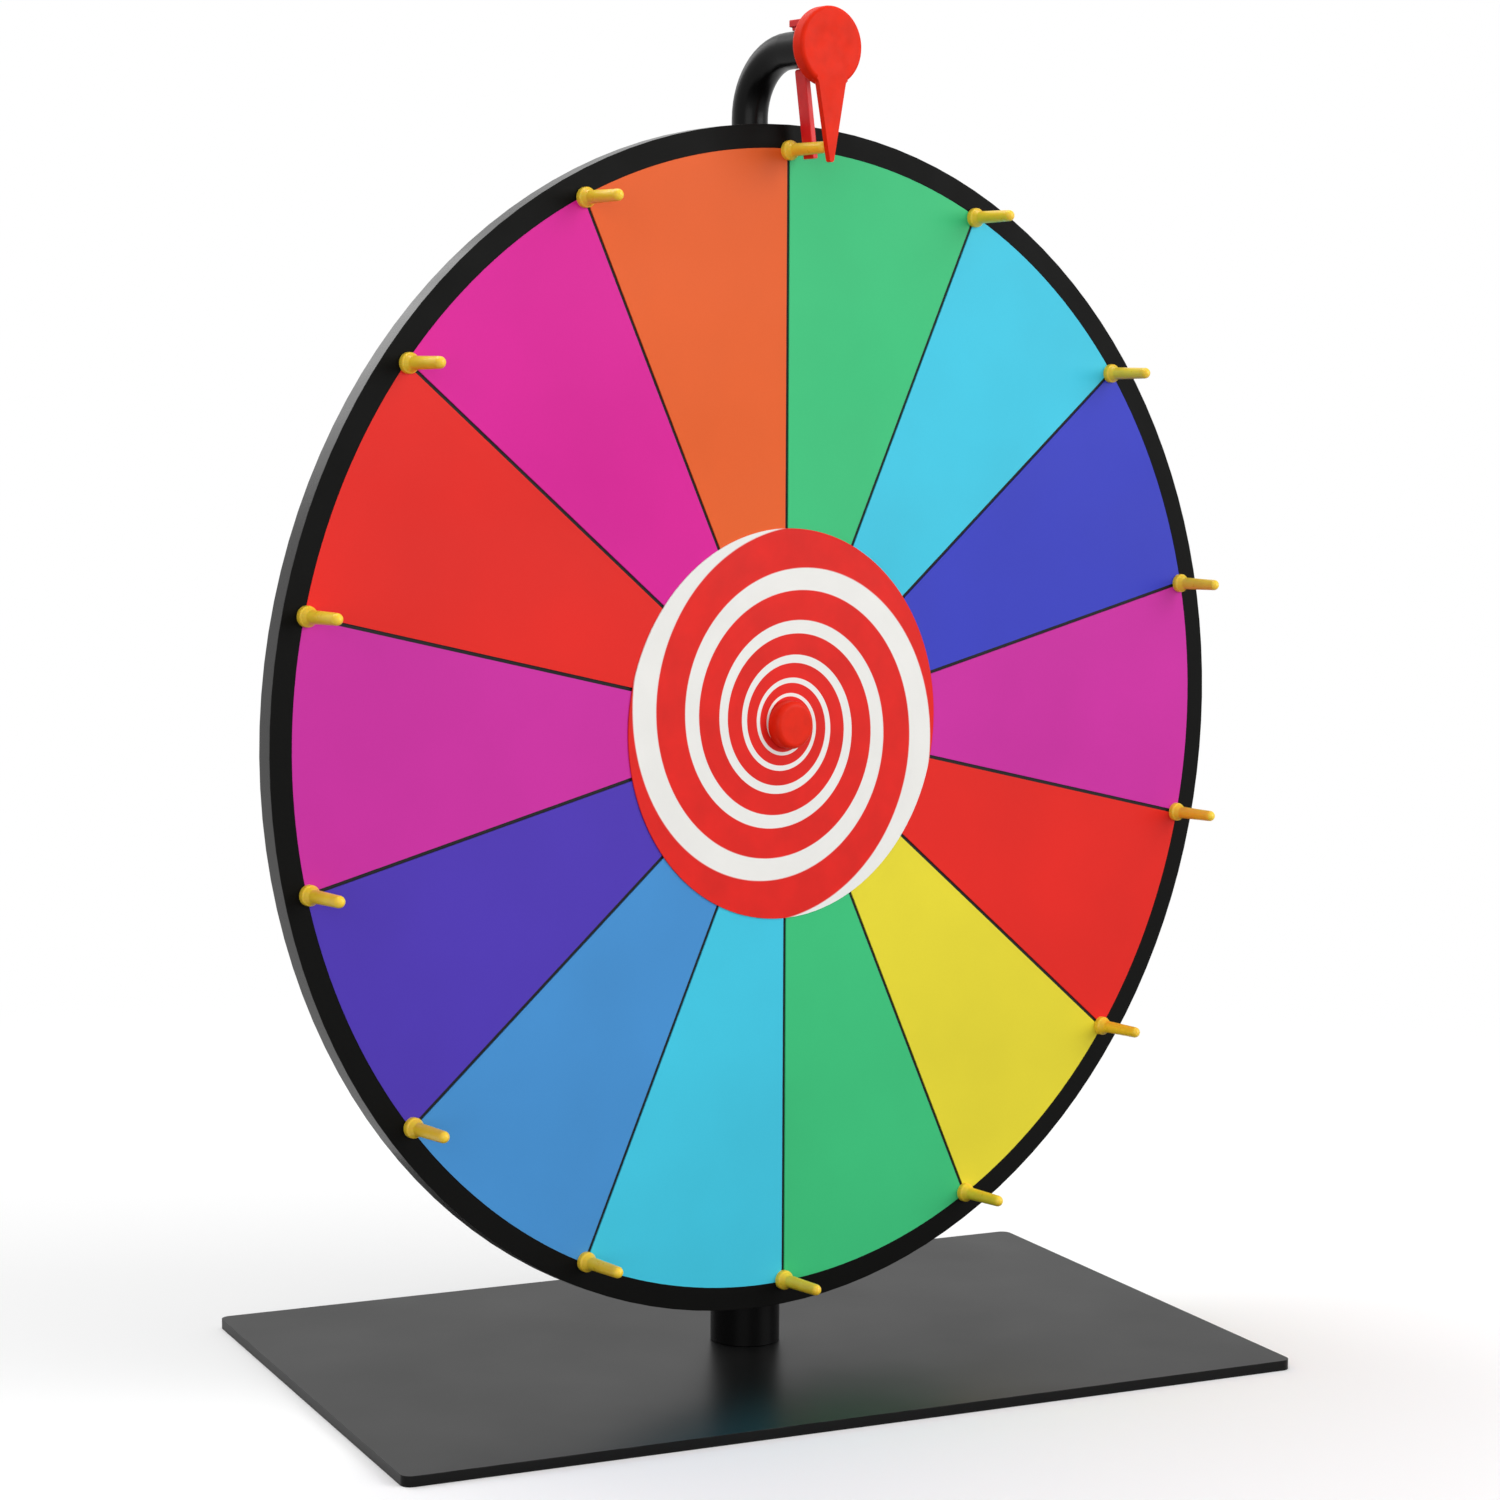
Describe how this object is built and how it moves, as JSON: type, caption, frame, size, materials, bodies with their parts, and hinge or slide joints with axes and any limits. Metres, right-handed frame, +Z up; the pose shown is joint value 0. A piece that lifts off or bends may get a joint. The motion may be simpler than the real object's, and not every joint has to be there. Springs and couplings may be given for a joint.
{
  "type": "carnival game wheel",
  "caption": "Tabletop carnival prize wheel: a round board with coloured panels and click pegs spins on a gooseneck pole that stands in a flat plate base, under a pointer and a flapper.",
  "frame": {"origin": "on the underside of the base plate, below the pole", "axes": "+Z up, front of the base plate towards -Y, its long edge along X"},
  "size_m": [0.446, 0.23, 0.5222],
  "materials": {
    "base_coat": "semi-gloss black powder coat",
    "pole_coat": "satin black powder coat",
    "zinc_steel": "bright zinc plate",
    "bearing_steel": "ground",
    "cap_red": "moulded, satin",
    "pointer_red": "moulded, satin",
    "flapper_red": "flexible moulded plastic",
    "board_black": "rigid foamed sheet, matt",
    "trim_black": "extruded edging, satin",
    "hub_black": "moulded, matt",
    "disc_print": "printed vinyl, red with a white swirl",
    "peg_yellow": "moulded, glossy",
    "panel_green": "printed vinyl, write-on satin",
    "panel_cyan": "printed vinyl, write-on satin",
    "panel_royal_blue": "printed vinyl, write-on satin",
    "panel_magenta": "printed vinyl, write-on satin",
    "panel_red": "printed vinyl, write-on satin",
    "panel_yellow": "printed vinyl, write-on satin",
    "panel_mid_blue": "printed vinyl, write-on satin",
    "panel_indigo": "printed vinyl, write-on satin",
    "panel_pink": "printed vinyl, write-on satin",
    "panel_orange": "printed vinyl, write-on satin"
  },
  "bodies": {
    "base": {"base_plate": "base_coat", "post_socket": "pole_coat", "socket_screws": "zinc_steel"},
    "stand": {"gooseneck_pole": "pole_coat", "axle_bolt": "zinc_steel", "saddle_washer": "zinc_steel", "axle_spacer": "zinc_steel", "bearing_inner_races": "bearing_steel", "bearing_balls": "bearing_steel", "front_washer": "zinc_steel", "lock_nut": "zinc_steel", "hub_cap": "cap_red", "pointer": "pointer_red", "flapper_head": "flapper_red"},
    "wheel": {"wheel_board": "board_black", "rim_trim": "trim_black", "hub_housing": "hub_black", "hub_screws": "zinc_steel", "bearing_outer_races": "bearing_steel", "centre_disc": "disc_print", "peg_screws": "zinc_steel", "sector_01": "panel_green", "sector_02": "panel_cyan", "sector_03": "panel_royal_blue", "sector_04": "panel_magenta", "sector_05": "panel_red", "sector_06": "panel_yellow", "sector_07": "panel_green", "sector_08": "panel_cyan", "sector_09": "panel_mid_blue", "sector_10": "panel_indigo", "sector_11": "panel_magenta", "sector_12": "panel_red", "sector_13": "panel_pink", "sector_14": "panel_orange", "peg_01": "peg_yellow", "peg_02": "peg_yellow", "peg_03": "peg_yellow", "peg_04": "peg_yellow", "peg_05": "peg_yellow", "peg_06": "peg_yellow", "peg_07": "peg_yellow", "peg_08": "peg_yellow", "peg_09": "peg_yellow", "peg_10": "peg_yellow", "peg_11": "peg_yellow", "peg_12": "peg_yellow", "peg_13": "peg_yellow", "peg_14": "peg_yellow"},
    "flapper": {"flapper_blade": "flapper_red"}
  },
  "joints": [
    {"name": "stand_swivel", "type": "hinge", "parent": "base", "child": "stand", "pos_m": [0, 0, 0.06], "axis": [0, 0, 1], "continuous": true},
    {"name": "wheel_spin", "type": "hinge", "parent": "stand", "child": "wheel", "pos_m": [0.0056, -0.02334, 0.2515], "axis": [0.2334, -0.9724, 0], "continuous": true},
    {"name": "flapper_flick", "type": "hinge", "parent": "stand", "child": "flapper", "pos_m": [0.00742, -0.03092, 0.499], "axis": [0.2334, -0.9724, 0], "range_deg": [0, 38], "stiffness_Nm_per_rad": 0.03, "springref_deg": -7.91}
  ]
}
